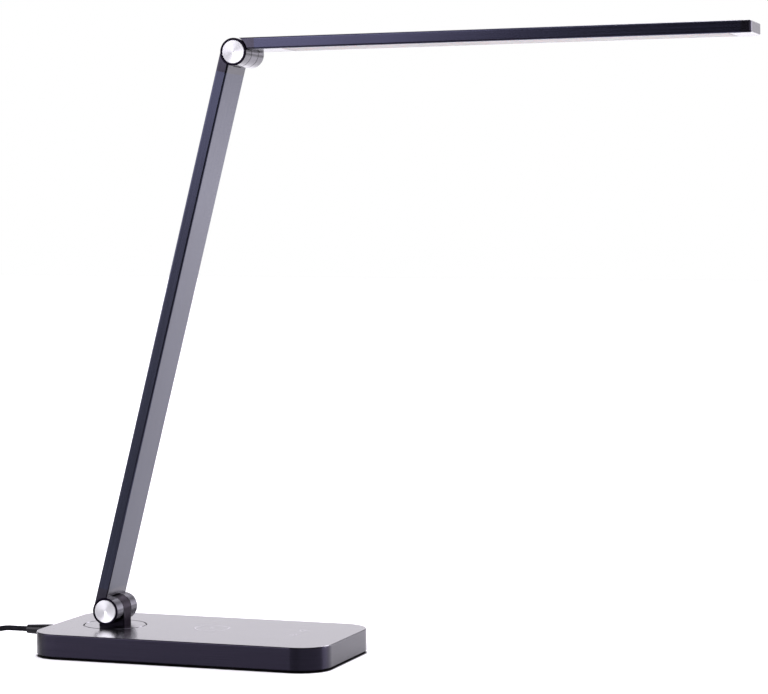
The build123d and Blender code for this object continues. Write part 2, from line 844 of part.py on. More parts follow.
# Main board on its bosses, with its tallest parts
with BuildPart() as main_board:
    with BuildSketch(Plane.XY.offset(board_bottom)):
        with Locations((board_centre_x, 0)):
            Rectangle(board_length, board_width)
        with Locations(*board_places):
            Circle(screw_radius + seat_fit, mode=Mode.SUBTRACT)
    extrude(amount=board_thickness)
finish(main_board, "main_board")
with BuildPart() as board_parts:
    part_row = board_width / 6
    with BuildSketch(Plane.XY.offset(board_top)):
        with Locations(*[(board_centre_x + x * part_row, -part_row) for x in (-2, 2)]):
            Circle(inductor_radius)
    extrude(amount=inductor_height)
    with BuildSketch(Plane.XY.offset(board_top)):
        with Locations(*[(board_centre_x + x * part_row, part_row) for x in (-2, -1, 2)]):
            Circle(capacitor_radius)
    extrude(amount=capacitor_height)
    with BuildSketch(Plane.XY.offset(board_top)):
        with Locations(*[(board_centre_x + x * part_row, x * part_row) for x in (-1, 0, 1)]):
            Rectangle(chip_side, chip_side)
    extrude(amount=chip_height)
finish(board_parts, "board_parts")

# Touch board behind the controls
with BuildPart() as touch_board:
    with BuildSketch(Plane.XY.offset(ceiling - touch_board_thickness)):
        with Locations((base_length / 2 - touch_board_from_end, 0)):
            Rectangle(touch_board_length, touch_board_width)
    extrude(amount=touch_board_thickness)
finish(touch_board, "touch_board")

# Supply socket in the end wall
socket_point = Vector(base_left, socket_y, socket_height)
socket_mouth = Plane(origin=socket_point, x_dir=(0, 1, 0), z_dir=(1, 0, 0))
with BuildPart() as supply_socket:
    with BuildSketch(socket_mouth):
        Circle(socket_nose_radius)
    extrude(amount=cover_wall)
    with BuildSketch(socket_mouth.offset(cover_wall)):
        Rectangle(socket_width, socket_depth)
    extrude(amount=socket_length)
    with BuildSketch(socket_mouth):
        Circle(socket_bore_radius)
    extrude(amount=socket_bore_depth, mode=Mode.SUBTRACT)
    with BuildSketch(socket_mouth.offset(socket_bore_depth)):
        Circle(socket_pin_radius)
    extrude(amount=-socket_pin_length)
finish(supply_socket, "supply_socket")


def turned_outward(start, profile):
    """A turned piece on a level axis that leaves its start to -X, from a half section (along, radius)."""
    with BuildPart() as piece:
        with BuildSketch(Plane(origin=start, x_dir=(-1, 0, 0), z_dir=(0, 1, 0))):
            with BuildLine():
                Polyline(*profile, close=True)
            make_face()
        revolve(axis=Axis(start, (-1, 0, 0)))
    return piece


def grooved(profile, first, pitch, grooves, width, depth, radius_at):
    """Adds square grooves to a turned profile, with the radius at each place from radius_at(along)."""
    for groove in range(grooves):
        start = first + pitch * groove
        profile += [
            (start, radius_at(start)),
            (start, radius_at(start) - depth),
            (start + width, radius_at(start + width) - depth),
            (start + width, radius_at(start + width)),
        ]


# Plug of the cord: collar, grip with grooves, and a tapered end that relieves the cord
plug_profile = [(0, 0), (0, plug_collar_radius), (plug_collar_length, plug_collar_radius)]
plug_profile.append((plug_collar_length, plug_grip_radius))
grooved(
    plug_profile,
    plug_collar_length + plug_groove_pitch,
    plug_groove_pitch,
    plug_groove_count,
    plug_groove_width,
    plug_groove_depth,
    lambda along: plug_grip_radius,
)
plug_profile += [
    (plug_grip_length, plug_grip_radius),
    (plug_length, plug_end_radius),
    (plug_length, 0),
]
finish(turned_outward(socket_point, plug_profile), "cord_plug")
barrel_profile = [
    (0, barrel_plug_bore),
    (0, barrel_plug_radius),
    (-barrel_plug_length, barrel_plug_radius),
    (-barrel_plug_length, barrel_plug_bore),
]
finish(turned_outward(socket_point, barrel_profile), "plug_barrel")

# Cord: a free stretch on the table, then a put-away coil, then a short tail into the adapter.
# The route's points are chosen by hand.
run_share = 0.45        # the share of a run that an arc at its end may take
plug_end_x = base_left - plug_length
lead_route = [
    Vector(plug_end_x, socket_y, socket_height),
    Vector(-148.0, 8.0, 9.5),
    Vector(-158.5, 8.1, 9.3),
    Vector(-169.5, 7.9, 5.0),
    Vector(-179.5, 7.9, 2.6),
    Vector(-188.0, 7.9, 2.6),
]


def bend_radii(route):
    """The largest arc at each corner of a route that its two runs leave room for."""
    radii = []
    for before, corner, after in zip(route, route[1:], route[2:]):
        run_in = corner - before
        run_out = after - corner
        half_turn = radians(run_in.get_angle(run_out)) / 2
        radii.append(run_share * min(run_in.length, run_out.length) / tan(half_turn))
    return radii


def report_tube(name, builder, length, radius):
    """Prints how a tube's volume compares with its section times its length."""
    expected = pi * radius**2 * length
    print(f"{name}: {length:.1f} mm, volume {builder.part.volume / expected:.4f} of section x length")


def cord_tube(name, route, radius):
    """A free stretch of cord along a route, in straight runs joined by tangent arcs."""
    radii = bend_radii(route)
    with BuildPart() as piece:
        with BuildLine() as path:
            FilletPolyline(*route, radius=radii)
        with BuildSketch(Plane(origin=route[0], z_dir=route[1] - route[0])):
            Circle(radius)
        sweep()
    print(f"{name} radii:", [round(value, 1) for value in radii])
    report_tube(name, piece, path.wire().length, radius)
    finish(piece, name)


# The coil's centre follows from where the free stretch ends
coil_bottom = cord_radius + tie_thickness + tie_gap
coil_lead = 2 * cord_radius
start_angle = pi / 2 - atan(coil_pitch / (2 * pi * coil_start_radius))
coil_start = lead_route[-1] - Vector(coil_lead, 0, 0)
coil_centre = coil_start - Vector(cos(start_angle), sin(start_angle), 0) * coil_start_radius
inner_radius = coil_start_radius - coil_pitch * coil_first_reversal
outer_radius = inner_radius + coil_pitch * coil_layer_turns


def coil_state(turns):
    """Where the cord's middle is after so many turns of the coil, and its direction there."""
    passed = floor((turns - coil_first_reversal) / coil_layer_turns) + 1
    since = turns - coil_first_reversal - coil_layer_turns * (passed - 1)
    inward = passed % 2 == 0
    radius = outer_radius - coil_pitch * since if inward else inner_radius + coil_pitch * since
    drift = -coil_pitch if inward else coil_pitch
    angle = start_angle + 2 * pi * turns
    out = Vector(cos(angle), sin(angle), 0)
    round_it = Vector(-sin(angle), cos(angle), 0)
    place = coil_centre + out * radius + Vector(0, 0, coil_layer_pitch * passed)
    return place, (out * drift + round_it * (2 * pi * radius)).normalized()


def joint_of_arcs(start, start_way, end, end_way):
    """Where two arcs meet that leave start and reach end in the given directions."""
    span = end - start
    ways = start_way + end_way
    spread = 2 * (1 - start_way.dot(end_way))
    reach = (-span.dot(ways) + sqrt(span.dot(ways) ** 2 + spread * span.dot(span))) / spread
    return (start + start_way * reach + end - end_way * reach) / 2


half_turns = int(2 * coil_turns)
coil_end, coil_end_way = coil_state(coil_turns)
with BuildPart() as cord_coil:
    with BuildLine() as coil_path:
        Line(lead_route[-1], coil_start)
        for step in range(half_turns):
            place, way = coil_state(step / 2)
            next_place, next_way = coil_state((step + 1) / 2)
            joint = joint_of_arcs(place, way, next_place, next_way)
            first_arc = TangentArc(place, joint, tangent=way)
            TangentArc(joint, next_place, tangent=first_arc % 1)
        Line(coil_end, coil_end + coil_end_way * coil_lead)
    with BuildSketch(Plane(origin=lead_route[-1], z_dir=(-1, 0, 0))):
        Circle(cord_radius)
    sweep()
report_tube("cord_coil", cord_coil, coil_path.wire().length, cord_radius)
finish(cord_coil, "cord_coil")

# The least gap between turns, on points along the coil that lie over a third of a turn apart
samples_per_arc = 8
coil_points = [
    edge.position_at(sample / samples_per_arc)
    for edge in coil_path.wire().order_edges()
    for sample in range(samples_per_arc)
]
apart = 4 * samples_per_arc // 3
least = min(
    (first - second).length
    for index, first in enumerate(coil_points)
    for second in coil_points[index + apart:]
)
print(f"cord_coil: least gap between turns {least - 2 * cord_radius:.2f} mm")

# The tail leaves the coil's top layer and runs level into the adapter's relief
tail_start = coil_end + coil_end_way * coil_lead
tail_route = [
    tail_start,
    tail_start + coil_end_way * 6.0,
    Vector(-207.7, 6.8, 14.6),
    Vector(-213.6, 6.9, 13.5),
    Vector(-219.6, 6.9, 13.5),
]
cord_tube("cord_lead", lead_route, cord_radius)
cord_tube("cord_tail", tail_route, cord_radius)

# A strap round the coil's turns
tie_out = Vector(cos(radians(tie_angle)), sin(radians(tie_angle)), 0)
tie_across = tie_out.cross(Vector(0, 0, 1))
tie_inner_width = outer_radius - inner_radius + 2 * (cord_radius + tie_gap)
tie_inner_height = 3 * coil_layer_pitch + 2 * (cord_radius + tie_gap)
tie_middle = coil_centre + tie_out * (inner_radius + outer_radius) / 2
tie_plane = Plane(
    origin=(tie_middle.X, tie_middle.Y, tie_thickness + tie_inner_height / 2),
    x_dir=tie_out,
    z_dir=tie_across,
)
with BuildPart() as coil_tie:
    with BuildSketch(tie_plane):
        RectangleRounded(
            tie_inner_width + 2 * tie_thickness, tie_inner_height + 2 * tie_thickness, cord_radius
        )
        RectangleRounded(
            tie_inner_width, tie_inner_height, cord_radius - tie_thickness, mode=Mode.SUBTRACT
        )
    extrude(amount=tie_width / 2, both=True)
finish(coil_tie, "coil_tie")

# Wall adapter on its back, with its relief, a raised boss and two round pins
tail_end = tail_route[-1]
adapter_front_x = tail_end.X - adapter_relief_length
adapter_middle_x = adapter_front_x - adapter_length / 2
with BuildPart() as adapter_body:
    with BuildSketch():
        with Locations((adapter_middle_x, tail_end.Y)):
            RectangleRounded(adapter_length, adapter_width, adapter_corner)
    extrude(amount=adapter_height)
    fillet(adapter_body.faces().sort_by(Axis.Z)[-1].edges(), adapter_edge)
    with BuildSketch(Plane.XY.offset(adapter_seam_height)):
        with Locations((adapter_middle_x, tail_end.Y)):
            RectangleRounded(adapter_length, adapter_width, adapter_corner)
            RectangleRounded(
                adapter_length - 2 * adapter_seam_depth,
                adapter_width - 2 * adapter_seam_depth,
                adapter_corner - adapter_seam_depth,
                mode=Mode.SUBTRACT,
            )
    extrude(amount=adapter_seam_width, mode=Mode.SUBTRACT)
    boss_middle_x = adapter_front_x - adapter_length + pin_boss_from_end
    with BuildSketch(Plane.XY.offset(adapter_height)):
        with Locations((boss_middle_x, tail_end.Y)):
            RectangleRounded(pin_boss_length, pin_boss_width, pin_boss_corner)
    extrude(amount=pin_boss_height)
finish(adapter_body, "adapter_body")
with BuildPart() as adapter_pins:
    with BuildSketch(Plane.XY.offset(adapter_height + pin_boss_height)):
        with Locations((boss_middle_x, tail_end.Y)):
            with GridLocations(0, pin_spacing, 1, 2):
                Circle(pin_radius)
    extrude(amount=pin_length)
    fillet(adapter_pins.faces().filter_by(Axis.Z).group_by(Axis.Z)[-1].edges(), pin_tip)
finish(adapter_pins, "adapter_pins")


def relief_radius(along):
    """The radius of the adapter's relief, so far from its tip."""
    return adapter_relief_tip + (adapter_relief_base - adapter_relief_tip) * along / adapter_relief_length


relief_profile = [(0, 0), (0, adapter_relief_tip)]
grooved(
    relief_profile,
    relief_groove_pitch,
    relief_groove_pitch,
    relief_groove_count,
    relief_groove_width,
    relief_groove_depth,
    relief_radius,
)
relief_profile += [(adapter_relief_length, adapter_relief_base), (adapter_relief_length, 0)]
finish(turned_outward(tail_end, relief_profile), "adapter_relief")

# Wire in the base, from the socket past the bearing plate to the main board
socket_back = base_left + cover_wall + socket_length
base_wire_level = socket_height - socket_depth / 2 + base_wire_radius
base_wire_end_level = board_bottom + board_thickness / 2
base_route = [
    Vector(socket_back, socket_y, base_wire_level),
    Vector(socket_back + 5.0, socket_y, base_wire_level),
    Vector(socket_back + 11.6, 11.6, base_wire_level),
    Vector(turntable_x - 10.7, 17.0, base_wire_level),
    Vector(turntable_x - 2.2, 20.0, base_wire_level),
    Vector(turntable_x + 7.3, 20.0, base_wire_level),
    Vector(turntable_x + 16.3, 17.0, base_wire_level),
    Vector((turntable_x + 16.3 + board_left - 7.0) / 2, 14.4, 7.6),
    Vector(board_left - 7.0, 14.0, base_wire_end_level),
    Vector(board_left, 14.0, base_wire_end_level),
]
cord_tube("base_wire", base_route, base_wire_radius)
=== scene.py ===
import math
import bmesh
import bpy
from mathutils import Matrix, Vector


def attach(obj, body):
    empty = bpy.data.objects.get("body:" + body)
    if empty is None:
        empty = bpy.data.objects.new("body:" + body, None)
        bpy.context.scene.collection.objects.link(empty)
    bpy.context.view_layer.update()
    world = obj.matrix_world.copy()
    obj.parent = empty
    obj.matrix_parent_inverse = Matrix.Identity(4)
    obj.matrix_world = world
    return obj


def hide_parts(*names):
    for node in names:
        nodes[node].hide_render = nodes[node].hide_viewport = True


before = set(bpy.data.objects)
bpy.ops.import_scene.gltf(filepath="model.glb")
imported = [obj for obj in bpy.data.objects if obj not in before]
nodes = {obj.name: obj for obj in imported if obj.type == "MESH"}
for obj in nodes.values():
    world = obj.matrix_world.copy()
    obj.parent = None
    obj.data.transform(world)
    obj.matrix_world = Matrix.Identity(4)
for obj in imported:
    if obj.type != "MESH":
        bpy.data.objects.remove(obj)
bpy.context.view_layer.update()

scene = bpy.context.scene
MM = 0.001

# Sizes that the scene shares with the solids, in millimetres
base_length = 216.0
base_width = 114.0
base_corner = 22.0
base_top = 17.3
hinge_distance = 400.0
ear_end = 17.35

# Hinge axes, in metres, and the angles of the arm and the head from level
arm_angle = math.radians(76.0)
head_angle = math.radians(0.65)
lower_axis = Vector((-66.3, 0.0, 28.75)) * MM
upper_axis = lower_axis + Vector((math.cos(arm_angle), 0.0, math.sin(arm_angle))) * hinge_distance * MM


# Camera at the photograph's angle

def look_from_photo():
    """Makes the camera from its place, its three turns, its focal length and its centre in pixels."""
    width, height = 768.0, 694.0
    focal = 2644.12
    centre_x, centre_y = 379.13, 347.82
    sensor = 36.0
    place = Vector((0.697125, -1.701031, 0.299538))
    yaw, pitch, roll = (math.radians(a) for a in (18.4426, 2.6749, -0.0532))
    forward = Vector(
        (-math.sin(yaw) * math.cos(pitch), math.cos(yaw) * math.cos(pitch), -math.sin(pitch))
    )
    level = Vector((math.cos(yaw), math.sin(yaw), 0.0))
    right = level * math.cos(roll) + forward.cross(level) * math.sin(roll)
    down = forward.cross(right)
    data = bpy.data.cameras.new("camera")
    data.sensor_width = sensor
    data.lens = focal * sensor / width
    data.shift_x = (width / 2 - centre_x) / width
    data.shift_y = (centre_y - height / 2) / width
    data.clip_end = 50.0
    camera = bpy.data.objects.new("camera", data)
    turn = Matrix((right, -down, -forward)).transposed().to_4x4()
    camera.matrix_world = Matrix.Translation(place) @ turn
    scene.collection.objects.link(camera)
    scene.camera = camera


look_from_photo()


# Materials. Every pattern is laid out in the lamp's own frame, in metres.

class Shading:
    """A node tree, and short calls for the nodes that go into it."""

    def __init__(self, tree):
        self.tree = tree

    def node(self, kind, **settings):
        made = self.tree.nodes.new(kind)
        for key, value in settings.items():
            setattr(made, key, value)
        return made

    def link(self, start, end):
        self.tree.links.new(start, end)

    def feed(self, socket, value):
        """Sets an input to a number or a triple, or links another node's output to it."""
        if isinstance(value, (int, float)):
            socket.default_value = value
        elif isinstance(value, tuple):
            socket.default_value = value if socket.type == "VECTOR" else (*value, 1.0)
        else:
            self.link(value, socket)

    def math(self, kind, *values):
        """Arithmetic on outputs or plain numbers."""
        made = self.node("ShaderNodeMath", operation=kind)
        for socket, value in zip(made.inputs, values):
            self.feed(socket, value)
        return made.outputs["Value"]

    def vector(self, kind, *values, output="Vector"):
        """Vector arithmetic on outputs or plain triples."""
        made = self.node("ShaderNodeVectorMath", operation=kind)
        for socket, value in zip(made.inputs, values):
            self.feed(socket, value)
        return made.outputs[output]

    def mix(self, factor, first, second):
        """A colour between two."""
        made = self.node("ShaderNodeMix", data_type="RGBA")
        for index, value in ((0, factor), (6, first), (7, second)):
            self.feed(made.inputs[index], value)
        return made.outputs[2]

    def spread(self, value, low=0.0, high=1.0, start=0.3, stop=0.7, kind="LINEAR"):
        """A value carried from start and stop to low and high. The bounds suit a noise as they are."""
        made = self.node("ShaderNodeMapRange", interpolation_type=kind)
        for key, number in (("From Min", start), ("From Max", stop), ("To Min", low), ("To Max", high)):
            made.inputs[key].default_value = number
        self.link(value, made.inputs["Value"])
        return made.outputs["Result"]

    def step(self, value, start, stop, low=0.0, high=1.0):
        """A soft step from low at start to high at stop."""
        return self.spread(value, low, high, start, stop, "SMOOTHSTEP")

    def place(self, kind="Object"):
        """Where a point is, in the lamp's own frame, or its normal there, or a ray's way in the world."""
        return self.node("ShaderNodeTexCoord").outputs[kind]

    def part(self, vector, which):
        """One part of a vector, X, Y or Z."""
        made = self.node("ShaderNodeSeparateXYZ")
        self.link(vector, made.inputs["Vector"])
        return made.outputs[which]

    def rays(self, *kinds):
        """A factor that is 1 for these kinds of rays."""
        path = self.node("ShaderNodeLightPath")
        factor = path.outputs[kinds[0]]
        for kind in kinds[1:]:
            factor = self.math("MAXIMUM", factor, path.outputs[kind])
        return factor


class Paint(Shading):
    """A material with a Principled shader, and short calls for the patterns that vary it."""

    def __init__(self, name, color, roughness, metallic=0.0, **extra):
        self.material = bpy.data.materials.new(name)
        self.material.use_nodes = True
        self.material.diffuse_color = (*color, 1.0)
        super().__init__(self.material.node_tree)
        self.shader = self.tree.nodes["Principled BSDF"]
        self.shader.inputs["Base Color"].default_value = (*color, 1.0)
        self.shader.inputs["Roughness"].default_value = roughness
        self.shader.inputs["Metallic"].default_value = metallic
        for key, value in extra.items():
            socket = key.replace("_", " ").title().replace("Ior", "IOR")
            self.shader.inputs[socket].default_value = value

    def color(self, value):
        self.link(value, self.shader.inputs["Base Color"])

    def roughness(self, value):
        self.link(value, self.shader.inputs["Roughness"])

    def bump(self, height, strength, distance):
        made = self.node("ShaderNodeBump")
        made.inputs["Strength"].default_value = strength
        made.inputs["Distance"].default_value = distance
        self.link(height, made.inputs["Height"])
        self.link(made.outputs["Normal"], self.shader.inputs["Normal"])

    def cells(self, size, turn=(0.0, 0.0, 0.0)):
        """Coordinates in cells of a size, in a turned frame."""
        mapping = self.node("ShaderNodeMapping", vector_type="TEXTURE")
        mapping.inputs["Rotation"].default_value = turn
        mapping.inputs["Scale"].default_value = size
        self.link(self.place(), mapping.inputs["Vector"])
        return mapping.outputs["Vector"]

    def noise(self, vector, detail=2.0, rough=0.5):
        made = self.node("ShaderNodeTexNoise")
        made.inputs["Scale"].default_value = 1.0
        made.inputs["Detail"].default_value = detail
        made.inputs["Roughness"].default_value = rough
        self.link(vector, made.inputs["Vector"])
        return made.outputs["Fac"]

    def grain(self, size, detail=2.0, rough=0.5):
        """Noise whose cells are as large each way."""
        return self.noise(self.cells((size, size, size)), detail, rough)

    def out_from(self, axis_point):
        """The way out from a line along y through a point."""
        moved = self.vector("SUBTRACT", self.place(), axis_point)
        return self.vector("MULTIPLY", moved, (1.0, 0.0, 1.0))

    def distance_from(self, axis_point):
        """The distance from a line along y through a point."""
        return self.vector("LENGTH", self.out_from(axis_point), output="Value")

    def brushed_across(self, across, anisotropy):
        """Spreads reflections across the brushing, along a vector of the lamp's own frame."""
        turned = self.node("ShaderNodeVectorTransform", vector_type="VECTOR")
        turned.convert_from, turned.convert_to = "OBJECT", "WORLD"
        self.link(across, turned.inputs["Vector"])
        self.shader.inputs["Anisotropic"].default_value = anisotropy
        self.link(self.vector("NORMALIZE", turned.outputs["Vector"]), self.shader.inputs["Tangent"])


def brushed(name, darker, lighter, roughness, tilt=0.0, anisotropy=0.0):
    """Metal with faint clouding, brushed along its length, which is tilted up from level."""
    line_cell = (0.12, 0.00022, 0.00022)
    cloud_cell = (0.09, 0.03, 0.03)
    turn = (0.0, -tilt, 0.0)
    paint = Paint(name, darker, roughness, 1.0)
    if anisotropy:
        along = (math.cos(tilt), 0.0, math.sin(tilt))
        paint.brushed_across(paint.vector("CROSS_PRODUCT", paint.place("Normal"), along), anisotropy)
    lines = paint.noise(paint.cells(line_cell, turn), 3.0, 0.6)
    clouds = paint.noise(paint.cells(cloud_cell, turn))
    scaled = paint.node("ShaderNodeVectorMath", operation="SCALE")
    paint.link(paint.mix(paint.spread(clouds), darker, lighter), scaled.inputs[0])
    paint.link(paint.spread(lines, 0.82, 1.18), scaled.inputs["Scale"])
    paint.color(scaled.outputs["Vector"])
    paint.roughness(paint.spread(lines, roughness - 0.05, roughness + 0.06))
    paint.bump(lines, 0.12, 0.00002)
    return paint.material


def end_finish(name, axis_point, level=1.0):
    """Dark polished end pieces, with a blacker rim round the cap."""
    rim_radius = 9.7 * MM
    rim_depth = 0.5 * MM
    end_tones = ((0.025, 0.023, 0.032), (0.033, 0.031, 0.043))
    darker, lighter = (tuple(part * level for part in tone) for tone in end_tones)
    paint = Paint(name, lighter, 0.2, 1.0)
    wide = paint.grain(0.012, 3.0)
    fine = paint.grain(0.0004)
    sideways = paint.math("ABSOLUTE", paint.part(paint.place(), "Y"))
    outside = paint.math("GREATER_THAN", sideways, ear_end * MM - rim_depth)
    near = paint.math("LESS_THAN", paint.distance_from(axis_point), rim_radius)
    rim = paint.math("MULTIPLY", outside, near)
    paint.color(paint.mix(rim, paint.mix(paint.spread(wide), darker, lighter), (0.006, 0.0045, 0.009)))
    paint.roughness(paint.math("MULTIPLY_ADD", rim, 0.2, paint.spread(fine, 0.15, 0.22)))
    paint.bump(wide, 0.04, 0.00004)
    return paint.material


def post_finish():
    """The stem's black enamel, with painted light on the knuckle at its top and painted shade on the stem
    below it, under the ear.
    """
    knuckle_light_from, knuckle_light_to = 21.0 * MM, 27.0 * MM
    shaded_stem_tone, knuckle_light_tone, cloud_tone = (0.003, 0.0025, 0.004), (0.023, 0.021, 0.025), (0.016, 0.014, 0.020)
    paint = Paint("post_enamel", (0.006, 0.005, 0.008), 0.3, 1.0, specular_tint=(0.53, 0.52, 0.53, 1.0))
    wide = paint.grain(0.006, 3.0)
    fine = paint.grain(0.0004)
    # Painted light and shade: lighter on the knuckle at the top, darker on the stem below
    knuckle_light = paint.spread(paint.part(paint.place(), "Z"), start=knuckle_light_from, stop=knuckle_light_to)
    paint.color(paint.mix(paint.spread(wide, 0.0, 0.12), paint.mix(knuckle_light, shaded_stem_tone, knuckle_light_tone), cloud_tone))
    paint.roughness(paint.spread(fine, 0.24, 0.34))
    paint.bump(wide, 0.05, 0.00005)
    return paint.material


def base_finish():
    """The base's cover and disc: a lacquered top, brushed along, and sides brushed round the rim."""
    side_cell = (0.06, 0.06, 0.00016)
    top_cell = (0.09, 0.0002, 1.0)
    side_across, top_across = (0.0, 0.0, 1.0), (0.0, 1.0, 0.0)
    paint = Paint("base_cover_finish", (0.021, 0.019, 0.030), 0.25, 1.0, coat_roughness=0.2)
    upright = paint.part(paint.place("Normal"), "Z")
    top = paint.spread(upright, start=0.55, stop=0.85)
    side_lines = paint.noise(paint.cells(side_cell), 3.0, 0.6)
    top_lines = paint.noise(paint.cells(top_cell), 3.0, 0.6)
    lines = paint.mix(top, side_lines, top_lines)
    paint.color(paint.mix(paint.spread(lines), (0.013, 0.012, 0.019), (0.020, 0.018, 0.028)))
    # The bevel between the sides and the top is the smoothest
    above_sides = paint.spread(upright, start=0.03, stop=0.12)
    below_top = paint.spread(upright, 1.0, 0.0, 0.95, 0.995)
    bevel = paint.math("MULTIPLY", above_sides, below_top)
    smoothing = paint.math("MULTIPLY_ADD", top, 0.12, paint.math("MULTIPLY", bevel, 0.16))
    paint.roughness(paint.math("SUBTRACT", paint.spread(lines, 0.27, 0.36), smoothing))
    across = paint.node("ShaderNodeMix", data_type="VECTOR")
    for index, value in ((0, top), (4, side_across), (5, top_across)):
        paint.feed(across.inputs[index], value)
    paint.brushed_across(across.outputs[1], 0.85)
    paint.link(top, paint.shader.inputs["Coat Weight"])
    paint.bump(lines, 0.08, 0.00002)
    return paint.material


def spun(name, axis_point, level):
    """Bare aluminium faced on a lathe: fine rings about the hinge axis."""
    rings_per_metre = 7000.0
    middle, darker, lighter = (
        (level + change, level + change, level + change + 0.015) for change in (0.0, -0.03, 0.03)
    )
    paint = Paint(name, middle, 0.3, 1.0)
    rings = paint.node("ShaderNodeCombineXYZ")
    paint.link(paint.math("MULTIPLY", paint.distance_from(axis_point), rings_per_metre), rings.inputs["X"])
    lines = paint.noise(rings.outputs["Vector"], 3.0, 0.7)
    paint.color(paint.mix(paint.spread(lines), darker, lighter))
    paint.roughness(paint.spread(lines, 0.27, 0.36))
    paint.bump(lines, 0.04, 0.00001)
    paint.brushed_across(paint.out_from(axis_point), 0.8)
    return paint.material


def satin(name, color, roughness, grain=0.0004, metallic=0.0, strength=0.2, **extra):
    """Painted or moulded surfaces with a fine grain and a little unevenness in their tone."""
    paint = Paint(name, color, roughness, metallic, **extra)
    fine = paint.grain(grain, 2.0, 0.6)
    darker = tuple(part * 0.8 for part in color)
    lighter = tuple(min(1.0, part * 1.2 + 0.002) for part in color)
    paint.color(paint.mix(paint.spread(paint.grain(0.02)), darker, lighter))
    paint.roughness(paint.spread(fine, roughness - 0.05, roughness + 0.07))
    paint.bump(fine, strength, 0.00003)
    return paint.material


def washer_finish():
    """Blackened washers with a faint unevenness in their polish."""
    paint = Paint("washer_black", (0.02, 0.02, 0.02), 0.45)
    wide = paint.grain(0.006, 3.0)
    paint.roughness(paint.spread(wide, 0.41, 0.51))
    paint.bump(wide, 0.05, 0.00005)
    return paint.material


def sheath():
    """Soft matt PVC of a cord and of the wires, with faint waves along it."""
    darker = (0.011, 0.011, 0.013)
    lighter = tuple(part * 1.7 for part in darker)
    paint = Paint("cord_sheath_finish", darker, 0.2, specular_ior_level=0.0)
    wide = paint.grain(0.004, 3.0)
    paint.color(paint.mix(paint.spread(wide), darker, lighter))
    paint.roughness(paint.spread(wide, 0.14, 0.22))
    paint.bump(paint.grain(0.0003), 0.12, 0.00003)
    return paint.material


def woven():
    """Woven strap: two sets of threads that pass over and under each other, with painted shade on the lower
    threads.
    """
    thread = 0.0007
    paint = Paint("woven_strap", (0.02, 0.02, 0.023), 0.85)
    weave = paint.node("ShaderNodeTexChecker")
    weave.inputs["Scale"].default_value = 1.0
    paint.link(paint.cells((thread, thread, thread)), weave.inputs["Vector"])
    fuzz = paint.grain(0.0002, 3.0)
    height = paint.math("MULTIPLY_ADD", weave.outputs["Fac"], 0.6, fuzz)
    # Painted shade: threads that lie lower are darker, raised ones lighter
    painted_thread_shading = paint.spread(height, start=0.2, stop=1.3)
    paint.color(paint.mix(painted_thread_shading, (0.012, 0.012, 0.014), (0.04, 0.04, 0.045)))
    paint.bump(height, 0.6, 0.0002)
    return paint.material


def opal():
    """The diffuser's opal plastic: a soft satin white with a little light in its depth."""
    darker, middle, lighter = (0.48, 0.465, 0.445), (0.50, 0.485, 0.465), (0.52, 0.505, 0.485)
    paint = Paint("opal_plastic", middle, 0.5, subsurface_weight=0.15, specular_ior_level=0.0)
    paint.shader.inputs["Subsurface Scale"].default_value = 0.002
    fine = paint.grain(0.0004)
    wide = paint.noise(paint.cells((0.05, 0.02, 0.02)))
    paint.color(paint.mix(paint.spread(wide), darker, lighter))
    paint.roughness(paint.spread(fine, 0.40, 0.50))
    paint.bump(fine, 0.1, 0.00002)
    return paint.material


finishes = {
    "arm": brushed("arm_anodised", (0.029, 0.030, 0.047), (0.034, 0.036, 0.056), 0.22, arm_angle, 0.7),
    "head": brushed("head_anodised", (0.033, 0.032, 0.053), (0.039, 0.040, 0.066), 0.22, head_angle, 0.7),
    "steel": brushed("zinc_steel", (0.40, 0.40, 0.42), (0.52, 0.52, 0.54), 0.38),
    "copper": brushed("copper_wire", (0.60, 0.24, 0.11), (0.80, 0.36, 0.18), 0.3),
    "plated": brushed("nickel_plate", (0.62, 0.60, 0.56), (0.72, 0.70, 0.66), 0.22),
    "base": base_finish(),
    "lower_end": end_finish("lower_end_finish", tuple(lower_axis)),
    "upper_end": end_finish("upper_end_finish", tuple(upper_axis)),
    "upper_fork": end_finish("upper_fork_finish", tuple(upper_axis), 0.72),
    "post": post_finish(),
    # The two caps are the same aluminium: the upper cap's face is set darker than the lower's, as painted
    # shade against the stronger light on it
    "lower_cap": spun("lower_cap_face", tuple(lower_axis), 0.55),
    "upper_cap": spun("upper_cap_face", tuple(upper_axis), 0.45),
    "washer": washer_finish(),
    "opal": opal(),
    "sheath": sheath(),
    "woven": woven(),
    "plastic": satin(
        "underside_plastic", (0.003, 0.003, 0.0035), 0.5, 0.0006, strength=0.35, specular_ior_level=0.0
    ),
    "rubber": satin("foot_rubber_finish", (0.02, 0.02, 0.02), 0.8, 0.0005, strength=0.5),
    "slip": satin("slip_plastic_finish", (0.62, 0.60, 0.55), 0.4),
    "board": satin("board_mask", (0.012, 0.075, 0.03), 0.3),
    "strip": satin("strip_mask", (0.78, 0.78, 0.76), 0.4),
    "emitter": satin("emitter_resin", (0.85, 0.66, 0.16), 0.25),
    "ferrite": satin("ferrite_face", (0.03, 0.03, 0.032), 0.6, metallic=0.3),
    "parts": satin("component_case", (0.02, 0.02, 0.022), 0.45),
    "plug": satin("plug_plastic_finish", (0.003, 0.003, 0.005), 0.26, specular_ior_level=0.18),
    "adapter": satin("adapter_grain", (0.014, 0.014, 0.015), 0.5, 0.0007, strength=0.4),
    "mark": satin("printed_mark", (0.47, 0.46, 0.485), 0.38),
}
